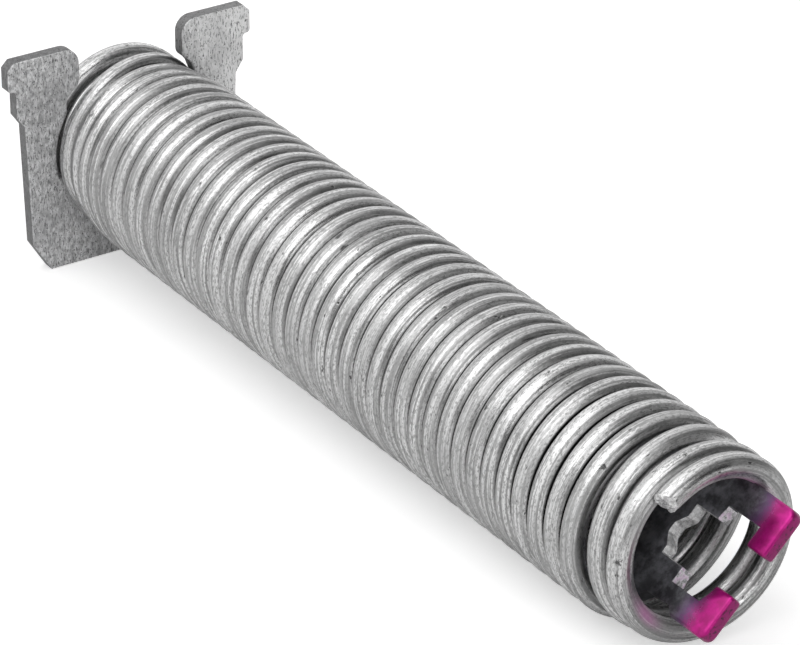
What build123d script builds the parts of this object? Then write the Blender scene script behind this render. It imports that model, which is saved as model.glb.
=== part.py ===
"""Dishwasher door spring: a close-wound coil with a stamped steel plate seated in each end.

The coil's axis is +X, from the middle of the hanger plate's front face towards the hooks, and +Z is up.
Turns are counted from the wire's cut end at the hooks, and angles run clockwise from +Z, seen from there.
"""
import math
import os

from build123d import *

# Coil
wire_diameter = 3.0
coil_diameter = 25.16
turn_gap = 0.01
wire_end_angle = -35.0
closed_to_turn = 40.8
crossing_turns = 0.6
crossing_delay = 0.2
tail_turns = 1.49
tail_rest = 0.1
tail_hold = 2.4
tail_follow = 0.75
points_per_turn = 14

# Last turns of the coil, round the hook plate
end_ring_drop = 0.5
end_ring_shift = 0.5
end_ring_turns = 1.3
ring_easing_turns = 1.5
end_opening = 0.14
end_opening_turns = 0.8
ear_opening = 1.85
ear_opening_turns = 0.8
lean = 0.42
lean_turns = 5.3
lean_opening = 0.46

# Hanger plate
plate_thickness = 2.0
seat_clearance = 0.03
hanger_head_width = 36.4
hanger_head_height = 15.2
hanger_head_depth = 4.1
hanger_ledge_width = 1.1
hanger_neck_depth = 3.7
hanger_slope_width = 1.15
hanger_taper = 0.55
hanger_slope_depth = 1.7
hanger_foot_height = 15.7
hanger_corner_width = 2.6
hanger_corner_height = 4.2
hanger_head_chamfer = 0.95
mouth_width = 15.5
slot_clearance = 0.15
web_height = 3.2
arm_corner_radius = 2.1
bump_radius = 1.3
ledge_radius = 0.5

# Hook plate
hook_plate_angle = 45.0
hook_reach = 7.4
hook_plate_width = 17.9
hook_opening = 10.55
hook_depth = 3.25
hook_gap = 5.4
arm_length = 5.35
throat_width = 6.6
throat_depth = 3.9
recess_width = 4.0
recess_floor = 1.2
recess_depth = 1.1
recess_shift = -0.35
recess_radius = 0.45
web_length = 6.9
web_corner = 1.6
hook_corner_radius = 1.1
tip_radius = 0.7
shoulder_radius = 0.7
notch_depth = 1.0
notch_length = 4.2
notch_from_end = 6.9
ear_reach = 2.0
ear_tip_length = 0.9
ear_root_length = 2.0
ear_root_depth = 0.5

# Derived sizes
wire_radius = wire_diameter / 2
coil_radius = coil_diameter / 2 - wire_radius
closed_pitch = wire_diameter + turn_gap
crossing_start = wire_radius + seat_clearance
crossing_drop = plate_thickness + 2 * crossing_start - closed_pitch * crossing_turns
slot_radius = coil_diameter / 2 + slot_clearance
across = Vector(0, math.sin(math.radians(hook_plate_angle)), math.cos(math.radians(hook_plate_angle)))


def ease(share):
    """Smooth step from 0 to 1, level at both ends."""
    share = min(max(share, 0.0), 1.0)
    return share * share * (3 - 2 * share)


def angle_at(turn):
    """Clock angle of the wire, in degrees from +Z towards +Y."""
    return wire_end_angle + 360 * turn


# Turns at which the wire does something other than run closed
ear_turn = 1 + (hook_plate_angle - wire_end_angle) / 360
ear_opening_start = ear_turn + 0.45
ear_opening_end = ear_opening_start + ear_opening_turns
lean_start = ear_opening_end - 0.3
crossing_turn = closed_to_turn
behind_turn = crossing_turn + crossing_turns
last_turn = crossing_turn + tail_turns


def opened(turn):
    """Extra axial travel, beyond closed winding, between the cut end and the given turn."""
    travel = end_opening * ease((turn - ear_opening_start + end_opening_turns) / end_opening_turns)
    travel += ear_opening * ease((turn - ear_opening_start) / ear_opening_turns)
    travel += lean_opening * ease((turn - lean_start) / lean_turns)
    crossing_length = crossing_turns - crossing_delay
    travel += crossing_drop * ease((turn - crossing_turn - crossing_delay) / crossing_length)
    travel -= tail_hold * ease((turn - behind_turn - tail_rest) / crossing_turns)
    travel += tail_follow * crossing_drop * ease((turn - crossing_turn - 1 - crossing_delay) / crossing_length)
    share = ease((turn - ear_opening_start) / ear_opening_turns) * (1 - ease((turn - lean_start) / lean_turns))
    travel -= lean * share * math.cos(2 * math.pi * (turn - ear_turn + 0.25))
    return travel


coil_end = crossing_start + closed_pitch * crossing_turn + opened(crossing_turn)


def wire_x(turn):
    """Place of the wire's centre along the axis."""
    return coil_end - closed_pitch * turn - opened(turn)


def drawn_in(turn):
    """Share of the end ring's smaller size, and of its shift off the axis, that the given turn has."""
    return 1 - ease((turn - end_ring_turns) / ring_easing_turns)


def wire_point(turn):
    """Centre of the wire."""
    angle = math.radians(angle_at(turn))
    radius = coil_radius - end_ring_drop * drawn_in(turn)
    shift = end_ring_shift * drawn_in(turn) * across
    return Vector(wire_x(turn), radius * math.sin(angle), radius * math.cos(angle)) + shift


def stretch(first, last):
    """Centre line of a stretch of wire, from the turn it starts at to the turn it ends at."""
    count = round(abs(last - first) * points_per_turn)
    return Spline(*(wire_point(first + (last - first) * k / count) for k in range(count + 1)))


# The coil is swept in three stretches that share their end circles: the closed turns, the opened end, and
# the end that threads the hanger plate.
closed_from = round(lean_start + lean_turns + 0.5)
closed_until = crossing_turn - 1
closed_turns = closed_until - closed_from
closed_angle = math.radians(angle_at(closed_from))
closed_plane = Plane(
    origin=(wire_x(closed_from), 0, 0),
    x_dir=(0, math.sin(closed_angle), math.cos(closed_angle)),
    z_dir=(-1, 0, 0),
)

with BuildPart() as coil_spring:
    with BuildLine() as closed_line:
        add(closed_plane * Helix(closed_pitch, closed_pitch * closed_turns, coil_radius, mode=Mode.PRIVATE))
    with BuildLine() as near_line:
        stretch(closed_from, 0)
    with BuildLine() as far_line:
        stretch(closed_until, last_turn)
    near_joint = Plane(origin=closed_line.line @ 0, z_dir=closed_line.line % 0)
    far_joint = Plane(origin=closed_line.line @ 1, z_dir=closed_line.line % 1)
    for line, joint in ((closed_line, near_joint), (near_line, -near_joint), (far_line, far_joint)):
        with BuildSketch(joint):
            Circle(wire_radius)
        sweep(path=line.wire())

coil_spring.part.label = "coil_spring"

# Hanger plate: a flat blank with a T-headed arm each side of a round slot. The slot's upper half lets the
# wire cross the plate, and the web below it lies between two turns.
ledge_z = hanger_head_height - hanger_head_depth
neck_low = ledge_z - hanger_neck_depth
side_top = neck_low - hanger_slope_depth
half_head = hanger_head_width / 2
half_neck = half_head - hanger_ledge_width
half_body = half_neck - hanger_slope_width
half_foot = half_body - hanger_taper

with BuildPart() as hanger_plate:
    with BuildSketch(Plane.YZ) as blank:
        with BuildLine():
            Polyline(
                (0, -hanger_foot_height),
                (half_foot - hanger_corner_width, -hanger_foot_height),
                (half_foot, -hanger_foot_height + hanger_corner_height),
                (half_body, side_top),
                (half_neck, neck_low),
                (half_neck, ledge_z),
                (half_head, ledge_z),
                (half_head, hanger_head_height - hanger_head_chamfer),
                (half_head - hanger_head_chamfer, hanger_head_height),
                (0, hanger_head_height),
                (0, -hanger_foot_height),
            )
        make_face()
        mirror(about=Plane.YZ)
        fillet(blank.vertices().filter_by_position(Axis.Y, ledge_z - 0.01, ledge_z + 0.01), ledge_radius)
    extrude(amount=-plate_thickness)
    with BuildSketch(Plane.YZ) as slot:
        Circle(slot_radius)
        with Locations((0, -slot_radius - web_height)):
            Rectangle(2 * slot_radius, 2 * slot_radius, mode=Mode.SUBTRACT)
        Rectangle(mouth_width, 2 * hanger_head_height, align=(Align.CENTER, Align.MIN))
        fillet(slot.vertices().filter_by_position(Axis.Y, 1, slot_radius), bump_radius)
    extrude(amount=-plate_thickness, mode=Mode.SUBTRACT)
    upright = hanger_plate.edges().filter_by(Axis.X)
    arm_corners = upright.filter_by(lambda e: abs(abs(e.center().Y) - mouth_width / 2) < 0.01
                                    and abs(e.center().Z - hanger_head_height) < 0.01)
    fillet(arm_corners, arm_corner_radius)

hanger_plate.part.label = "hanger_plate"

# Hook plate: a flat stamping in a plane through the axis, with two arms that end in hooks, a stepped
# throat between them, and an ear each side that sits between two turns.
hook_end = wire_x(0) + hook_reach
hook_back = hook_end - hook_depth
step_x = hook_back - arm_length
throat_x = step_x - throat_depth
web_back = throat_x - web_length
half_width = hook_plate_width / 2
upper_ear = (wire_x(ear_turn) + wire_x(ear_turn + 1)) / 2
lower_ear = (wire_x(ear_turn + 0.5) + wire_x(ear_turn + 1.5)) / 2
hook_plane = Plane(origin=end_ring_shift * across, x_dir=(1, 0, 0), z_dir=Vector(1, 0, 0).cross(across))

with BuildPart() as hook_plate:
    with BuildSketch(hook_plane) as hook_blank:
        with Locations(((hook_end + web_back) / 2, 0)):
            Rectangle(hook_end - web_back, hook_plate_width)
        chamfer(hook_blank.vertices().group_by(Axis.X)[0], web_corner)
        for ear_x, side in ((upper_ear, 1), (lower_ear, -1)):
            with BuildLine():
                Polyline(
                    (ear_x - ear_root_length / 2, side * (half_width - ear_root_depth)),
                    (ear_x - ear_root_length / 2, side * half_width),
                    (ear_x - ear_tip_length / 2, side * (half_width + ear_reach)),
                    (ear_x + ear_tip_length / 2, side * (half_width + ear_reach)),
                    (ear_x + ear_root_length / 2, side * half_width),
                    (ear_x + ear_root_length / 2, side * (half_width - ear_root_depth)),
                    close=True,
                )
            make_face()
        with Locations(((hook_back + step_x) / 2, 0)):
            Rectangle(arm_length, hook_opening, mode=Mode.SUBTRACT)
        with Locations(((step_x + throat_x) / 2, 0)):
            Rectangle(throat_depth, throat_width, mode=Mode.SUBTRACT)
        with BuildLine(mode=Mode.PRIVATE) as recess_line:
            Polyline(
                (throat_x, recess_shift - recess_width / 2),
                (throat_x - recess_depth, recess_shift - recess_floor / 2),
                (throat_x - recess_depth, recess_shift + recess_floor / 2),
                (throat_x, recess_shift + recess_width / 2),
                close=True,
            )
        make_face(recess_line.edges(), mode=Mode.SUBTRACT)
        recess_corners = hook_blank.vertices().filter_by(lambda v: throat_x - web_length / 2 < v.X < throat_x + 0.01
                                                         and abs(v.Y - recess_shift) < recess_width / 2 + 0.01)
        fillet(recess_corners, recess_radius)
        with Locations((hook_back, 0)):
            Rectangle(hook_depth, hook_gap, align=(Align.MIN, Align.CENTER), mode=Mode.SUBTRACT)
        with BuildLine(mode=Mode.PRIVATE) as notch_line:
            Polyline(
                (hook_end - notch_from_end + notch_depth, -half_width),
                (hook_end - notch_from_end, -half_width + notch_depth),
                (hook_end - notch_from_end - notch_length, -half_width + notch_depth),
                (hook_end - notch_from_end - notch_length - notch_depth, -half_width),
                close=True,
            )
        make_face(notch_line.edges(), mode=Mode.SUBTRACT)
        corners = hook_blank.vertices()
        fillet(corners.filter_by(lambda v: abs(v.X - hook_end) < 0.01 and abs(v.Y) > 2 * hook_gap / 3),
               hook_corner_radius)
        fillet(corners.filter_by(lambda v: v.X > hook_back - 0.01 and abs(abs(v.Y) - hook_gap / 2) < 0.01),
               tip_radius)
        fillet(corners.filter_by(lambda v: abs(v.X - step_x) < 0.01 and abs(abs(v.Y) - throat_width / 2) < 0.01),
               shoulder_radius)
    extrude(amount=plate_thickness / 2, both=True)

hook_plate.part.label = "hook_plate"

os.makedirs("parts", exist_ok=True)
export_step(coil_spring.part, "parts/coil_spring.step")
export_step(hanger_plate.part, "parts/hanger_plate.step")
export_step(hook_plate.part, "parts/hook_plate.step")
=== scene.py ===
"""Dishwasher door spring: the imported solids, dressed with drawn wire, galvanised sheet and painted hooks."""
import math

import bmesh
import bpy
from mathutils import Matrix, Vector
from mathutils import noise as noise_field


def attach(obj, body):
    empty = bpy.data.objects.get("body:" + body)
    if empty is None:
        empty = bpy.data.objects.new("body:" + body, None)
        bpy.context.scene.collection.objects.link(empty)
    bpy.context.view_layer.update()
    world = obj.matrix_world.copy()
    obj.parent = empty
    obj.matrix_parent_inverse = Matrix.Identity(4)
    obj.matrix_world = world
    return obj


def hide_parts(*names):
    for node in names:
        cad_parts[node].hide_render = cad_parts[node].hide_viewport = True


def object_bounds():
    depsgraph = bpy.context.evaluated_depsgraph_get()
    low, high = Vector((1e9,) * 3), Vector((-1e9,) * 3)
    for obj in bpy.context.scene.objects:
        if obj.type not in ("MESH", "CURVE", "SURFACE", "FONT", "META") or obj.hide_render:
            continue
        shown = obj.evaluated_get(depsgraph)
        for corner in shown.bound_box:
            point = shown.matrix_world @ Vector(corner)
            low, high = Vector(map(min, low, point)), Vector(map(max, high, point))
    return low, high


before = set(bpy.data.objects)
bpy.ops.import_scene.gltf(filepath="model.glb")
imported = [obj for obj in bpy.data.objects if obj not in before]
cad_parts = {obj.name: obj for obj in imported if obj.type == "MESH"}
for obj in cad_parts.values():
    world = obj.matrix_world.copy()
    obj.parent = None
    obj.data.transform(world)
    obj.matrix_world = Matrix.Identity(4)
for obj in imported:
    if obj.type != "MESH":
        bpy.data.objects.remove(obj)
cad_low, cad_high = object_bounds()

# Coil
# One length of bright drawn spring wire, wound cold with its turns touching. At one end it is opened and
# drawn in over the hook plate's ears, and at the other it crosses the hanger plate's web.
WIRE = 0.0030
PITCH = 0.00301
RADIUS = 0.01108
PLATE = 0.0020
PLATE_ANGLE = 45.0
ACROSS = Vector((0, math.sin(math.radians(PLATE_ANGLE)), math.cos(math.radians(PLATE_ANGLE))))
SHEET_NORMAL = Vector((0, -ACROSS.z, ACROSS.y))

# Turns are counted from the cut end at the hooks.
END_ANGLE = -35.0
EAR_TURN = 1 + (PLATE_ANGLE - END_ANGLE) / 360
OPENING = EAR_TURN + 0.45
GATHERING = 38.2
CROSSING = 40.8
CROSSING_TURNS = 0.6
LAST_TURN = 42.29

# The first turn is drawn in over the ears, squeezed, and slipped sideways. Each change of the winding comes
# or goes over a stretch of turns, given by its start and its length.
RING_DROP = 0.0005
RING_DROP_GOES = (1.3, 1.5)
RING_SQUEEZE = 0.0001
RING_SLIP = 0.00025
SQUEEZE_GOES = (0.5, 0.8)

# The turns then open and lean, and their low side is pressed in and back.
END_GAP = 0.00014
END_GAP_COMES = (OPENING - 0.8, 0.8)
EAR_GAP = 0.00185
EAR_GAP_COMES = (OPENING, 0.8)
LEAN = 0.00042
LEAN_GAP = 0.00046
LEAN_GOES = (OPENING + 0.5, 5.3)
LOW_ANGLE = 130.0
LOW_PRESS = 0.0005
LOW_PRESS_COMES = (1.9, 0.3)
LOW_PRESS_GOES = (2.7, 7.0)

# The last turns are gathered in, pressed together, and step over the web to lie on the plate's back.
GATHER_IN = 0.00062
GATHER_ASIDE = 0.0002
GATHER_COMES = (GATHERING, 2.0)
PRESS = 0.00015
PRESS_COMES = (GATHERING, 1.5)
PRESS_GOES = (CROSSING, 0.4)
SEAT = WIRE / 2 + 0.00003
WEB_STEP = PLATE + 2 * SEAT - PITCH * CROSSING_TURNS
WEB_STEP_COMES = (CROSSING + 0.2, CROSSING_TURNS - 0.2)
HOLD = 0.0003
HOLD_COMES = (CROSSING, 0.2)
HOLD_GOES = (CROSSING + 0.15, 0.15)
TAIL_RETURN = 0.0015
TAIL_RETURN_COMES = (CROSSING + 0.65, 0.5)


def ease(place, stretch):
    """Share of a change that comes smoothly over a stretch, given by its start and its length."""
    share = min(max((place - stretch[0]) / stretch[1], 0.0), 1.0)
    return share * share * (3 - 2 * share)


def opened(turn):
    """Axial travel of the wire beyond closed winding."""
    lean = ease(turn, EAR_GAP_COMES) * (1 - ease(turn, LEAN_GOES))
    press = ease(turn, PRESS_COMES) * (1 - ease(turn, PRESS_GOES))
    travel = END_GAP * ease(turn, END_GAP_COMES)
    travel += EAR_GAP * ease(turn, EAR_GAP_COMES)
    travel += LEAN_GAP * ease(turn, LEAN_GOES)
    travel -= LEAN * lean * math.cos(2 * math.pi * (turn - EAR_TURN + 0.25))
    travel -= PRESS * press
    travel += WEB_STEP * ease(turn, WEB_STEP_COMES)
    travel -= HOLD * (ease(turn, HOLD_COMES) - ease(turn, HOLD_GOES))
    travel -= TAIL_RETURN * ease(turn, TAIL_RETURN_COMES)
    return travel


COIL_END = SEAT + PITCH * CROSSING + opened(CROSSING) + PRESS


def wire_point(turn):
    """Centre of the wire at a turn."""
    angle = math.radians(END_ANGLE + 360 * turn)
    drawn_in = RING_DROP * (1 - ease(turn, RING_DROP_GOES))
    squeezed = 1 - ease(turn, SQUEEZE_GOES)
    low_side = max(0.0, math.cos(angle - math.radians(LOW_ANGLE))) ** 2
    low_side *= ease(turn, LOW_PRESS_COMES) * (1 - ease(turn, LOW_PRESS_GOES))
    gathered = ease(turn, GATHER_COMES)
    radius = RADIUS - drawn_in - RING_SQUEEZE * squeezed - LOW_PRESS * low_side - GATHER_IN * gathered
    place = Vector((COIL_END - PITCH * turn - opened(turn) - LOW_PRESS * low_side,
                    radius * math.sin(angle) + GATHER_ASIDE * gathered,
                    radius * math.cos(angle)))
    return place + drawn_in * ACROSS + RING_SLIP * squeezed * SHEET_NORMAL


def linear(code):
    """Linear colour of an sRGB hex code."""
    parts = (int(code[i:i + 2], 16) / 255 for i in (1, 3, 5))
    return (*(c / 12.92 if c <= 0.04045 else ((c + 0.055) / 1.055) ** 2.4 for c in parts), 1.0)


def add(tree, kind, inputs=None, **settings):
    """A new node with its settings, and with each input linked to a socket or set to a value."""
    node = tree.nodes.new(kind)
    for name, value in settings.items():
        setattr(node, name, value)
    for name, value in (inputs or {}).items():
        if isinstance(value, bpy.types.NodeSocket):
            tree.links.new(value, node.inputs[name])
        else:
            node.inputs[name].default_value = value
    return node


def lumps(tree, place, per_mm, detail=3.0, roughness=0.5, stretch=(1, 1, 1)):
    """Uneven pattern of so many lumps per millimetre, drawn out along an axis whose stretch is below 1."""
    spot = add(tree, "ShaderNodeMapping", {"Vector": place, "Scale": stretch}).outputs["Vector"]
    return add(tree, "ShaderNodeTexNoise", {"Vector": spot, "Scale": 1000 * per_mm, "Detail": detail,
                                            "Roughness": roughness}).outputs["Fac"]


def mask(tree, value, start, full, within=1.0, least=0.0):
    """Share that rises from least to 1 as a value goes from start to full, times the share within."""
    share = add(tree, "ShaderNodeMapRange",
                {"Value": value, "From Min": start, "From Max": full, "To Min": least},
                interpolation_type="SMOOTHSTEP").outputs["Result"]
    return add(tree, "ShaderNodeMath", {0: share, 1: within}, operation="MULTIPLY").outputs[0]


def cover(tree, tone, code, share, most=1.0):
    """Tone under a layer of one colour, which hides at most a share of it."""
    hidden = add(tree, "ShaderNodeMath", {0: share, 1: most}, operation="MULTIPLY").outputs[0]
    return add(tree, "ShaderNodeMix", {"Factor": hidden, "A": tone, "B": linear(code)},
               data_type="RGBA").outputs["Result"]


def total(tree, first, parts):
    """First value plus each part times its weight."""
    for part, weight in parts:
        first = add(tree, "ShaderNodeMath", {0: part, 1: weight, 2: first},
                    operation="MULTIPLY_ADD").outputs[0]
    return first


def new_material(name):
    """Material with its node tree and its shader."""
    material = bpy.data.materials.new(name)
    material.use_nodes = True
    tree = material.node_tree
    return material, tree, tree.nodes["Principled BSDF"]


# Drawn steel: silver grey, with draw lines along the wire that catch the light, dull blotches, pits, and
# painted shade in the grooves between turns, where one turn shades the next. The lines are 0.3 mm wide,
# coarser than real ones, so that they show. Magenta overspray lies on the inner side of the turns beside the
# hooks.
NICKS = (((0.12406, -0.00163, 0.01218), 0.0012),
         ((0.12513, -0.01125, 0.00207), 0.0013),
         ((0.11750, -0.00790, 0.00930), 0.0013))
NICK_EDGE = 0.0002
NICK_RAGGEDNESS = 0.0018
OVERSPRAY = (((0.1268, 0.0052, 0.0080), 0.0072),
             ((0.1262, -0.0082, -0.0055), 0.0045))
TOUCHING = (-0.0010, 0.0010)
OPENED = (0.1190, 0.1150)
INNER_SIDE = (0.0106, 0.0094)

drawn, tree, shader = new_material("bright_drawn_wire")
place = add(tree, "ShaderNodeAttribute", attribute_name="wire_place").outputs["Vector"]
coords = add(tree, "ShaderNodeTexCoord")
spot = coords.outputs["Object"]
axial = add(tree, "ShaderNodeSeparateXYZ", {"Vector": spot}).outputs["X"]
from_axis = add(tree, "ShaderNodeVectorMath", {0: spot, 1: (0, 1, 1)}, operation="MULTIPLY").outputs[0]
radial = add(tree, "ShaderNodeVectorMath", {0: from_axis}, operation="LENGTH").outputs["Value"]
rim = add(tree, "ShaderNodeVectorMath", {0: from_axis}, operation="NORMALIZE").outputs[0]
outness = add(tree, "ShaderNodeVectorMath", {0: coords.outputs["Normal"], 1: rim},
              operation="DOT_PRODUCT").outputs["Value"]

lines = lumps(tree, place, 3.2, 3, 0.6, (0.018, 1, 1))
broad_lines = lumps(tree, place, 1.3, 2, 0.5, (0.03, 1, 1))
blotches = lumps(tree, place, 0.42, 4, 0.6, (0.45, 1, 1))
grain = lumps(tree, place, 5.2, 2, 0.7, (0.4, 1, 1))
clouds = lumps(tree, spot, 0.09)

pits = mask(tree, lumps(tree, place, 1.5, 2, 0.5, (0.5, 1, 1)), 0.71, 0.76)
nicked = mask(tree, lumps(tree, spot, 0.14, 2), 0.56, 0.62)
nicks = mask(tree, lumps(tree, place, 0.9, 3, 0.6, (0.35, 1, 1)), 0.66, 0.70, nicked)
marks = add(tree, "ShaderNodeMath", {0: pits, 1: nicks}, operation="MAXIMUM").outputs[0]
ragged = lumps(tree, spot, 3.2, 4, 0.8)
for middle, reach in NICKS:
    away = add(tree, "ShaderNodeVectorMath", {0: spot, 1: middle}, operation="DISTANCE").outputs["Value"]
    away = total(tree, away, [(ragged, NICK_RAGGEDNESS)])
    nick = mask(tree, away, reach, reach - NICK_EDGE)
    marks = add(tree, "ShaderNodeMath", {0: marks, 1: nick}, operation="MAXIMUM").outputs[0]

# Painted shade: the flanks of each turn beside its neighbours are darkened, less where the turns are opened.
groove_shade = mask(tree, outness, -0.5, -0.1)
groove_shade = mask(tree, axial, *TOUCHING, groove_shade)
groove_shade = mask(tree, axial, *OPENED, groove_shade, least=0.25)
groove_shade = mask(tree, outness, 0.55, 0.37, groove_shade)

overspray = 0.0
for middle, reach in OVERSPRAY:
    away = add(tree, "ShaderNodeVectorMath", {0: spot, 1: middle}, operation="DISTANCE").outputs["Value"]
    mist = mask(tree, away, reach, 0.0)
    overspray = add(tree, "ShaderNodeMath", {0: overspray, 1: mist}, operation="MAXIMUM").outputs[0]
overspray = mask(tree, radial, *INNER_SIDE, overspray)
overspray = mask(tree, clouds, 0.2, 0.6, overspray, least=0.55)

tone = cover(tree, linear("#A2A2A2"), "#EFEFEF", mask(tree, lines, 0.38, 0.62))
tone = cover(tree, tone, "#848484", mask(tree, grain, 0.54, 0.36), 0.7)
tone = cover(tree, tone, "#BEBEBE", mask(tree, blotches, 0.48, 0.66), 0.4)
tone = cover(tree, tone, "#A8A8A8", mask(tree, clouds, 0.35, 0.75), 0.25)
# Painted shade in the grooves between turns.
tone = cover(tree, tone, "#202020", groove_shade, 0.95)
tone = cover(tree, tone, "#333333", marks, 0.8)
tone = cover(tree, tone, "#B0609C", overspray, 0.75)
tree.links.new(tone, shader.inputs["Base Color"])
rough = total(tree, 0.24, [(mask(tree, broad_lines, 0.3, 0.7), 0.14),
                           (mask(tree, blotches, 0.45, 0.7), 0.16),
                           (overspray, 0.25)])
tree.links.new(rough, shader.inputs["Roughness"])
tree.links.new(total(tree, 1.0, [(overspray, -0.85)]), shader.inputs["Metallic"])
shader.inputs["Anisotropic"].default_value = 0.25
shader.inputs["Tangent"].default_value = (1, 0, 0)
height = total(tree, 0.0, [(lines, 0.4), (broad_lines, 0.8), (blotches, 0.6), (grain, 0.3), (marks, -1.6)])
bump = add(tree, "ShaderNodeBump", {"Height": height, "Strength": 1.0, "Distance": 0.00003})
tree.links.new(bump.outputs["Normal"], shader.inputs["Normal"])

# Sheared steel: bright and torn, with fine tear lines. It is the cut end of the wire, and also the punched
# walls of the hook plate's throat, where it is dull and tinted lilac towards the painted hooks.
THROAT = (0.1252, 0, 0)
THROAT_REACH = (0.0062, 0.0050)
SHOULDER = (0.1246, 0.1262)

sheared, tree, shader = new_material("sheared_bright_steel")
spot = add(tree, "ShaderNodeTexCoord").outputs["Object"]
axial = add(tree, "ShaderNodeSeparateXYZ", {"Vector": spot}).outputs["X"]
away = add(tree, "ShaderNodeVectorMath", {0: spot, 1: THROAT}, operation="DISTANCE").outputs["Value"]
near_hooks = mask(tree, axial, *SHOULDER)
near_hooks = mask(tree, away, *THROAT_REACH, near_hooks)
tears = lumps(tree, spot, 2.6, 4, 0.65)
rub = lumps(tree, spot, 0.9, 3, 0.6)
tone = cover(tree, linear("#B4B4B4"), "#F4F4F4", mask(tree, tears, 0.35, 0.6))
tone = cover(tree, tone, "#9A9A9C", mask(tree, rub, 0.60, 0.45), 0.5)
tone = cover(tree, tone, "#6E6E70", mask(tree, rub, 0.52, 0.42, near_hooks))
tone = cover(tree, tone, "#B070B0", mask(tree, rub, 0.45, 0.58, near_hooks), 0.6)
tree.links.new(tone, shader.inputs["Base Color"])
shader.inputs["Metallic"].default_value = 0.6
tree.links.new(total(tree, 0.22, [(mask(tree, rub, 0.3, 0.7), 0.20)]), shader.inputs["Roughness"])
bump = add(tree, "ShaderNodeBump", {"Height": tears, "Strength": 1.0, "Distance": 0.00005})
tree.links.new(bump.outputs["Normal"], shader.inputs["Normal"])

# The wire is swept along its centre line. wire_place keeps each point's place on the straight wire: its
# distance along it, and its place in the round section.
PATH_STEPS = 3300
SECTION_SIDES = 22

curve = bpy.data.curves.new("coil_path", "CURVE")
curve.dimensions = "3D"
spline = curve.splines.new("POLY")
spline.points.add(PATH_STEPS)
for k, point in enumerate(spline.points):
    point.co = (*wire_point(LAST_TURN * k / PATH_STEPS), 1.0)
path = bpy.data.objects.new("coil_path", curve)
bpy.context.scene.collection.objects.link(path)

sweep = bpy.data.node_groups.new("wire_along_path", "GeometryNodeTree")
sweep.interface.new_socket("Geometry", in_out="INPUT", socket_type="NodeSocketGeometry")
for name, kind, value in (("Wire radius", "NodeSocketFloat", WIRE / 2),
                          ("Sides", "NodeSocketInt", SECTION_SIDES)):
    sweep.interface.new_socket(name, in_out="INPUT", socket_type=kind).default_value = value
sweep.interface.new_socket("Geometry", in_out="OUTPUT", socket_type="NodeSocketGeometry")
start = add(sweep, "NodeGroupInput")
position = add(sweep, "GeometryNodeInputPosition").outputs[0]
from_axis = add(sweep, "ShaderNodeVectorMath", {0: position, 1: (0, 1, 1)}, operation="MULTIPLY").outputs[0]
rim = add(sweep, "ShaderNodeVectorMath", {0: from_axis}, operation="NORMALIZE").outputs[0]
turned = add(sweep, "GeometryNodeSetCurveNormal", {"Curve": start.outputs["Geometry"], "Normal": rim},
             mode="FREE").outputs["Curve"]
distance = add(sweep, "GeometryNodeSplineParameter").outputs["Length"]
rail = add(sweep, "GeometryNodeStoreNamedAttribute", {"Geometry": turned, "Name": "along", "Value": distance},
           data_type="FLOAT", domain="POINT").outputs["Geometry"]
ring = add(sweep, "GeometryNodeCurvePrimitiveCircle",
           {"Resolution": start.outputs["Sides"], "Radius": start.outputs["Wire radius"]},
           mode="RADIUS").outputs["Curve"]
section = add(sweep, "GeometryNodeStoreNamedAttribute",
              {"Geometry": ring, "Name": "across", "Value": position},
              data_type="FLOAT_VECTOR", domain="POINT").outputs["Geometry"]
tube = add(sweep, "GeometryNodeCurveToMesh",
           {"Curve": rail, "Profile Curve": section, "Fill Caps": True}).outputs["Mesh"]
along = add(sweep, "GeometryNodeInputNamedAttribute", {"Name": "along"}, data_type="FLOAT")
across = add(sweep, "GeometryNodeInputNamedAttribute", {"Name": "across"}, data_type="FLOAT_VECTOR")
split = add(sweep, "ShaderNodeSeparateXYZ", {"Vector": across.outputs["Attribute"]})
straight = add(sweep, "ShaderNodeCombineXYZ", {"X": along.outputs["Attribute"], "Y": split.outputs["X"],
                                               "Z": split.outputs["Y"]}).outputs[0]
marked = add(sweep, "GeometryNodeStoreNamedAttribute",
             {"Geometry": tube, "Name": "wire_place", "Value": straight},
             data_type="FLOAT_VECTOR", domain="POINT").outputs["Geometry"]
real = add(sweep, "GeometryNodeRealizeInstances", {"Geometry": marked}).outputs["Geometry"]
dressed = add(sweep, "GeometryNodeSetMaterial", {"Geometry": real, "Material": drawn}).outputs["Geometry"]
add(sweep, "NodeGroupOutput", {"Geometry": dressed})
path.modifiers.new("wire", "NODES").node_group = sweep

graph = bpy.context.evaluated_depsgraph_get()
mesh = bpy.data.meshes.new_from_object(path.evaluated_get(graph))
bpy.data.objects.remove(path)
coil = bpy.data.objects.new("coil_wire", mesh)
bpy.context.scene.collection.objects.link(coil)
for name in ("along", "across"):
    mesh.attributes.remove(mesh.attributes[name])
for face in mesh.polygons:
    face.use_smooth = len(face.vertices) == 4

# The wire was sheared at the hooks. The cut is made again from rings and then crushed: one side stands proud,
# the other is driven back, and a lip of metal is pushed over the rim.
CUT_ZONE = 0.0022
CRUSHED_ZONE = 0.0024
FIRST_STRETCH = 0.004
CRUSH_DEPTH = 0.0009
RING_SHARES = (0.93, 0.84, 0.72, 0.58, 0.43, 0.28, 0.14)
LIP_SHARE = 0.9
OVERHANG = 0.00065
PROUD = 0.00035
DRIVEN_BACK = 0.00050
ROUGHNESS = 0.00024
DENTS = 0.00030
ROUNDED_RIM = 0.00025
LIP_ROUGHNESS = 0.00009
LIP_DRAW = 0.00004

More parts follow.
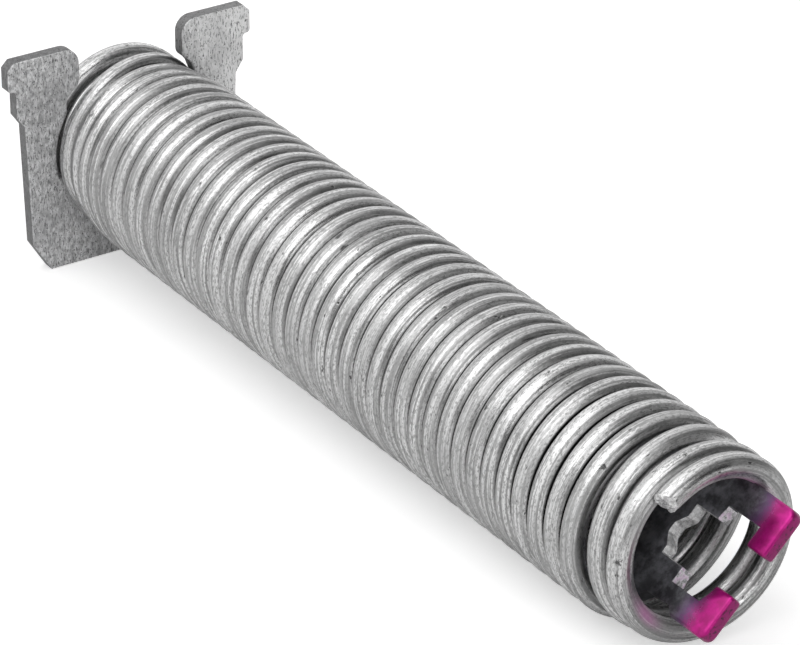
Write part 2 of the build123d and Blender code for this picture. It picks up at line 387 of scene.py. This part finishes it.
cut = wire_point(0)
outward = (cut - wire_point(0.002)).normalized()
outer = Vector((0, math.sin(math.radians(END_ANGLE)), math.cos(math.radians(END_ANGLE))))
proud_side = Vector((-0.67, 0, 0)) + 0.745 * outer
driven_side = Vector((0.738, 0, 0)) + 0.66 * outer
form = bmesh.new()
form.from_mesh(mesh)
wire_place = form.verts.layers.float_vector["wire_place"]
near = [f for f in form.faces if (f.calc_center_median() - cut).length < CUT_ZONE
        and all(v[wire_place].x < FIRST_STRETCH for v in f.verts)]
cap = [f for f in near if len(f.verts) > 4]
bmesh.ops.delete(form, geom=cap, context="FACES_ONLY")
edges = {e for f in near if f.is_valid for e in f.edges}
bmesh.ops.subdivide_edges(form, edges=list(edges), cuts=2, use_grid_fill=True)
loop = [e for e in form.edges if e.is_boundary and (e.verts[0].co - cut).length < CUT_ZONE]
for share in RING_SHARES:
    made = bmesh.ops.extrude_edge_only(form, edges=loop)["geom"]
    ring = [v for v in made if isinstance(v, bmesh.types.BMVert)]
    for vert in ring:
        spoke = vert.co - cut
        spoke -= spoke.dot(outward) * outward
        vert.co = cut + spoke.normalized() * WIRE / 2 * share
    for face in (f for f in made if isinstance(f, bmesh.types.BMFace)):
        face.material_index = 1
    loop = [e for e in made if isinstance(e, bmesh.types.BMEdge) and all(v in ring for v in e.verts)]
bmesh.ops.holes_fill(form, edges=loop, sides=0)
for vert in form.verts:
    spoke = vert.co - cut
    if spoke.length > CRUSHED_ZONE or vert[wire_place].x > FIRST_STRETCH:
        continue
    depth = spoke.dot(outward)
    side = (spoke - depth * outward) / (WIRE / 2)
    share = min(1.0, side.length)
    close = max(0.0, 1 + min(0.0, depth) / CRUSH_DEPTH)
    rough = noise_field.fractal(vert.co * 1900, 1.0, 2.2, 4)
    dent = noise_field.noise(vert.co * 620 + Vector((3, 1, 7)))
    push = OVERHANG + PROUD * side.dot(proud_side) - DRIVEN_BACK * side.dot(driven_side)
    push += ROUGHNESS * rough + DENTS * dent - ROUNDED_RIM * share ** 3
    vert.co += outward * close * push
    if share > LIP_SHARE:
        vert.co += side.normalized() * close * close * (LIP_ROUGHNESS * rough - LIP_DRAW)
form.to_mesh(mesh)
form.free()
mesh.materials.append(sheared)
for face in mesh.polygons:
    if face.material_index == 0:
        face.use_smooth = True
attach(coil, "root")
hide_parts("coil_spring")

# Hanger plate
# A flat stamping of galvanised sheet, square to the axis, with a T-headed arm each side of the coil. The
# press leaves its front edges rounder than its back ones.
FRONT_ROUNDING = 0.00022
BACK_ROUNDING = 0.00012
SLOT_BAND = (0.0119, 0.0131)
SLOT_NARROWING = {"left": (0.00118, 0.0084), "right": (0.00062, 0.0092)}
SLOT_COMES = (0.0, 0.0016)


def softened(node, name, width):
    """Copy of a stamped plate's solid with its sharp edges rounded; width gives each edge's rounding."""
    plate = bpy.data.meshes.new(name)
    form = bmesh.new()
    form.from_mesh(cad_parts[node].data)
    bmesh.ops.remove_doubles(form, verts=form.verts, dist=1e-6)
    bmesh.ops.dissolve_limit(form, angle_limit=math.radians(1), verts=form.verts, edges=form.edges)
    groups = {}
    for edge in form.edges:
        if edge.calc_face_angle(0) > math.radians(60):
            groups.setdefault(width((edge.verts[0].co + edge.verts[1].co) / 2), []).append(edge)
    for offset in sorted(groups, reverse=True):
        edges = [e for e in groups[offset] if e.is_valid]
        bmesh.ops.bevel(form, geom=edges, offset=offset, segments=3, profile=0.5, affect="EDGES",
                        clamp_overlap=True)
    form.to_mesh(plate)
    form.free()
    piece = bpy.data.objects.new(name, plate)
    bpy.context.scene.collection.objects.link(piece)
    for face in plate.polygons:
        face.use_smooth = True
    plate.set_sharp_from_angle(angle=math.radians(40))
    return piece


hanger = softened("hanger_plate", "hanger_plate_stamping",
                  lambda place: FRONT_ROUNDING if place.x > -PLATE / 2 else BACK_ROUNDING)
for vert in hanger.data.vertices:
    reach = vert.co.yz.length
    narrower, top = SLOT_NARROWING["left" if vert.co.y < 0 else "right"]
    if SLOT_BAND[0] < reach < SLOT_BAND[1] and vert.co.z < top:
        vert.co.yz *= 1 - narrower * ease(top - vert.co.z, SLOT_COMES) / reach

# Zinc coating: neutral grey, mottled by its spangle, with fine upright dashes, bright flecks and dark specks.
# The right arm is painted paler, as painted light, and the sheared edges of the sheet are darker.
PAINTED_LIGHT_RIGHT_ARM = (0.004, 0.014)

zinc, tree, shader = new_material("galvanised_sheet")
coords = add(tree, "ShaderNodeTexCoord")
spot = coords.outputs["Object"]
aside = add(tree, "ShaderNodeSeparateXYZ", {"Vector": spot}).outputs["Y"]
facing = add(tree, "ShaderNodeSeparateXYZ", {"Vector": coords.outputs["Normal"]}).outputs["X"]
facing = add(tree, "ShaderNodeMath", {0: facing}, operation="ABSOLUTE").outputs[0]
mottle = lumps(tree, spot, 1.5, 4, 0.7, (1, 1, 0.6))
dashes = lumps(tree, spot, 4.6, 2, 0.7, (1, 1, 0.28))
patches = lumps(tree, spot, 0.17, 3, 0.6)
flecks = mask(tree, lumps(tree, spot, 2.7, 2, 0.6, (1, 1, 0.4)), 0.62, 0.68)
specks = mask(tree, lumps(tree, spot, 2.8, 2, 0.6), 0.63, 0.67)
tone = cover(tree, linear("#ABABAC"), "#E6E6E7", mask(tree, mottle, 0.36, 0.64))
# Painted light: the right arm is made paler, standing in for the soft box's light falling on it.
tone = cover(tree, tone, "#FAFAFA", mask(tree, aside, *PAINTED_LIGHT_RIGHT_ARM), 0.7)
tone = cover(tree, tone, "#5C5C5D", mask(tree, dashes, 0.47, 0.36), 0.85)
tone = cover(tree, tone, "#98989A", mask(tree, patches, 0.40, 0.66), 0.35)
tone = cover(tree, tone, "#F0F0F0", flecks, 0.6)
tone = cover(tree, tone, "#3C3C3D", specks, 0.8)
tone = cover(tree, tone, "#424243", mask(tree, facing, 0.45, 0.10), 0.75)
tree.links.new(tone, shader.inputs["Base Color"])
shader.inputs["Metallic"].default_value = 0.3
tree.links.new(total(tree, 0.36, [(mask(tree, mottle, 0.3, 0.7), 0.22)]), shader.inputs["Roughness"])
height = total(tree, mottle, [(dashes, 0.5), (specks, -0.6)])
bump = add(tree, "ShaderNodeBump", {"Height": height, "Strength": 1.0, "Distance": 0.00005})
tree.links.new(bump.outputs["Normal"], shader.inputs["Normal"])

hanger.data.materials.clear()
hanger.data.materials.append(zinc)
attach(hanger, "root")
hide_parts("hanger_plate")

# Hook plate
# A flat stamping of dark steel in a plane through the axis, held in the coil by an ear each side. Its two
# hooks are dipped in paint, which has rounded their edges more than the press did the rest.
PAINTED_FROM = 0.1296
PAINTED_ROUNDING = 0.00045
PRESSED_ROUNDING = 0.00014
PLATE_SHIFT = 0.0002
LOW_HOOK_SHIFT = 0.0004
LOW_HOOK_AHEAD = (0.122, 0.003)
LOW_HOOK_BELOW = (0.0055, 0.002)
THROAT_ALONG = (0.1195, 0.1262)
THROAT_MIDDLE = 0.0005
THROAT_HALF = 0.0053

hooks = softened("hook_plate", "hook_plate_stamping",
                 lambda place: PAINTED_ROUNDING if place.x > PAINTED_FROM else PRESSED_ROUNDING)
for vert in hooks.data.vertices:
    low_hook = ease(vert.co.x, LOW_HOOK_AHEAD) * ease(-vert.co.dot(ACROSS), LOW_HOOK_BELOW)
    vert.co += (PLATE_SHIFT + LOW_HOOK_SHIFT * low_hook) * ACROSS

# Painted steel: the plate is dark grey and dull. The paint is a deep glossy magenta, with small pocks on its
# sides, whose paint is darker and greyer as painted shade, and it thins through purple grey along the arms.
PAINT_FADE = (0.1288, 0.1350)
FADE_CLOUDS = 0.0022
FADE_MIST = 0.0014

painted, tree, shader = new_material("dark_steel_magenta_hooks")
coords = add(tree, "ShaderNodeTexCoord")
spot = coords.outputs["Object"]
axial = add(tree, "ShaderNodeSeparateXYZ", {"Vector": spot}).outputs["X"]
flat = add(tree, "ShaderNodeVectorMath", {0: coords.outputs["Normal"], 1: SHEET_NORMAL},
           operation="DOT_PRODUCT").outputs["Value"]
flat = add(tree, "ShaderNodeMath", {0: flat}, operation="ABSOLUTE").outputs[0]
grain = lumps(tree, spot, 0.7, 4, 0.6)
clouds = lumps(tree, spot, 0.22)
mist = lumps(tree, spot, 3.5, 2, 0.6)
# The sheet's edge faces: they carry the pocks and the painted shade.
side = mask(tree, flat, 0.5, 0.15)
pocks = mask(tree, lumps(tree, spot, 1.9, 3, 0.7), 0.54, 0.62, side)
fade = mask(tree, total(tree, axial, [(clouds, FADE_CLOUDS), (mist, FADE_MIST)]), *PAINT_FADE)
steel = cover(tree, linear("#4A4A4E"), "#88888E", mask(tree, grain, 0.35, 0.68))
steel = cover(tree, steel, "#5C5C60", mask(tree, clouds, 0.4, 0.7), 0.5)
steel = cover(tree, steel, "#6F4F78", mask(tree, fade, 0.05, 0.55))
paint = cover(tree, linear("#9A0A66"), "#BE1284", mask(tree, grain, 0.3, 0.7))
# Painted shade: the edge faces of the hooks are made darker and greyer.
paint = cover(tree, paint, "#7A2058", side, 0.7)
paint = cover(tree, paint, "#3A1A30", pocks, 0.8)
tone = add(tree, "ShaderNodeMix", {"Factor": mask(tree, fade, 0.35, 0.95), "A": steel, "B": paint},
           data_type="RGBA").outputs["Result"]
tree.links.new(tone, shader.inputs["Base Color"])
tree.links.new(total(tree, 0.85, [(mask(tree, fade, 0.1, 0.7), -0.25)]), shader.inputs["Metallic"])
tree.links.new(total(tree, 0.42, [(mask(tree, fade, 0.2, 0.9), -0.18)]), shader.inputs["Roughness"])
tree.links.new(total(tree, 0.0, [(mask(tree, fade, 0.4, 0.9), 0.1)]), shader.inputs["Coat Weight"])
shader.inputs["Coat Roughness"].default_value = 0.08
bump = add(tree, "ShaderNodeBump", {"Height": grain, "Strength": 0.6, "Distance": 0.00003})
tree.links.new(bump.outputs["Normal"], shader.inputs["Normal"])

hooks.data.materials.clear()
hooks.data.materials.append(painted)
hooks.data.materials.append(sheared)
for face in hooks.data.polygons:
    wall = abs(face.normal.dot(SHEET_NORMAL)) < 0.75
    inside = abs(face.center.dot(ACROSS) - THROAT_MIDDLE) < THROAT_HALF
    in_throat = THROAT_ALONG[0] < face.center.x < THROAT_ALONG[1]
    face.material_index = 1 if wall and inside and in_throat else 0
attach(hooks, "root")
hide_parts("hook_plate")

# Camera
# A long lens that looks along the coil from the hooks, in the place fitted to the photograph.
PHOTO_WIDTH_PIXELS = 800
FOCAL_PIXELS = 4423.64
SENSOR_MM = 36.0

right = Vector((0.5467, 0.837, 0.004))
down = Vector((0.395, -0.253, -0.883))
forward = Vector((-0.7383, 0.484, -0.469))
eye = Vector((0.10644, 0, 0)) - right * 0.02303 - down * 0.01789 - forward * 0.50503
lens = bpy.data.cameras.new("camera")
lens.sensor_width = SENSOR_MM
lens.lens = FOCAL_PIXELS / PHOTO_WIDTH_PIXELS * SENSOR_MM
lens.clip_start = 0.01
lens.clip_end = 10.0
camera = bpy.data.objects.new("camera", lens)
camera.matrix_world = Matrix.Translation(eye) @ Matrix((right, -down, -forward)).transposed().to_4x4()
bpy.context.scene.collection.objects.link(camera)
bpy.context.scene.camera = camera

# Floor
# A pale matt sheet, tilted through the two places that the spring lies on: the hanger plate's foot and the
# turns beside the hooks. It glows a little for the camera, so that only the shadow is darker than white.
foot = Vector((-PLATE / 2, 0, cad_low.z))
low_turns = Vector((0.1150, 0, -0.01259))
tilt = math.atan2(low_turns.z - foot.z, low_turns.x - foot.x)
paper, tree, shader = new_material("pale_floor")
shader.inputs["Base Color"].default_value = linear("#EDEDED")
shader.inputs["Roughness"].default_value = 0.9
shader.inputs["Specular IOR Level"].default_value = 0.1
rays = add(tree, "ShaderNodeLightPath")
seen = add(tree, "ShaderNodeMath", {0: rays.outputs["Is Camera Ray"], 1: rays.outputs["Is Transmission Ray"]},
           operation="MAXIMUM").outputs[0]
glow = add(tree, "ShaderNodeEmission", {"Color": (1, 1, 1, 1), "Strength": total(tree, 0.0, [(seen, 0.45)])})
both = add(tree, "ShaderNodeAddShader", {0: shader.outputs[0], 1: glow.outputs[0]})
tree.links.new(both.outputs[0], tree.nodes["Material Output"].inputs["Surface"])
bpy.ops.mesh.primitive_plane_add(size=6.0, location=foot, rotation=(0, -tilt, 0))
floor = bpy.context.object
floor.name = "floor"
floor.data.materials.append(paper)

# Studio light
# A white room that is dark beyond the hooks, with a long bright strip beside the coil's left. A soft box
# overhead and a weaker one in front light the floor and soften the metal.
DARK_SIDE = (0.62, 0.74, 0.26)

world = bpy.data.worlds.new("studio")
bpy.context.scene.world = world
world.use_nodes = True
tree = world.node_tree
back = tree.nodes["Background"]
rays = add(tree, "ShaderNodeLightPath")
way = add(tree, "ShaderNodeTexCoord").outputs["Generated"]
split = add(tree, "ShaderNodeSeparateXYZ", {"Vector": way})
ahead = split.outputs["X"]
facing = add(tree, "ShaderNodeVectorMath", {0: way, 1: DARK_SIDE}, operation="DOT_PRODUCT").outputs["Value"]
strip = mask(tree, ahead, 0.05, 0.26)
strip = mask(tree, ahead, 0.56, 0.40, strip)
strip = mask(tree, split.outputs["Y"], 0.25, -0.05, strip)
room = total(tree, 0.97, [(mask(tree, ahead, 0.42, 0.74), -0.84)])
room = mask(tree, facing, 0.85, 0.28, room, least=0.20)
room = total(tree, room, [(strip, 0.12)])
level = 0.0
for ray, brightness in (("Is Camera Ray", 1.0), ("Is Transmission Ray", 1.0), ("Is Glossy Ray", room),
                        ("Is Diffuse Ray", 0.62)):
    lit = add(tree, "ShaderNodeMath", {0: rays.outputs[ray], 1: brightness}, operation="MULTIPLY").outputs[0]
    level = add(tree, "ShaderNodeMath", {0: level, 1: lit}, operation="MAXIMUM").outputs[0]
back.inputs["Color"].default_value = (1, 1, 1, 1)
tree.links.new(level, back.inputs["Strength"])


def soft_box(name, place, size, power):
    """Rectangular lamp that faces the middle of the spring."""
    data = bpy.data.lights.new(name, "AREA")
    data.shape = "RECTANGLE"
    data.size, data.size_y = size
    data.energy = power
    lamp = bpy.data.objects.new(name, data)
    lamp.location = place
    aim = Vector((0.06, 0, 0)) - Vector(place)
    lamp.rotation_euler = aim.to_track_quat("-Z", "Y").to_euler()
    bpy.context.scene.collection.objects.link(lamp)


soft_box("key", (0.10, -0.35, 0.75), (0.90, 0.70), 2.4)
soft_box("fill", (0.80, -0.10, 0.35), (0.50, 0.40), 1.1)

bpy.context.scene.view_settings.view_transform = "Standard"
